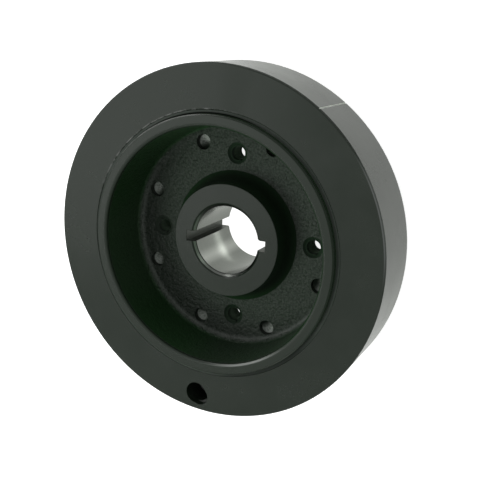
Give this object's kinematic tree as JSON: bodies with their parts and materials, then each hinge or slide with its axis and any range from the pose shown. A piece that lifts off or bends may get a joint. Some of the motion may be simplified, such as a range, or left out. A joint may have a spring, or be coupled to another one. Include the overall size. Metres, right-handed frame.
{
  "type": "harmonic balancer",
  "caption": "Round iron hub with a keyed crank bore and a deep front recess, held by a thin rubber ring inside a heavy outer ring that damps crankshaft vibration.",
  "frame": {"origin": "on the axis, at the rear end of the sleeve, which the part stands on", "axes": "+Z along the axis from the engine side to the pulley side, +Y through a bolt hole, +X through a keyway"},
  "size_m": [0.2032, 0.2032, 0.0682],
  "materials": {
    "hub": "satin black paint, rough casting in the recess, bare machined bore",
    "rubber": "matte",
    "ring": "satin black paint over turned faces"
  },
  "bodies": {
    "root": {"hub": "hub", "rubber_ring": "rubber", "inertia_ring": "ring"}
  },
  "joints": []
}
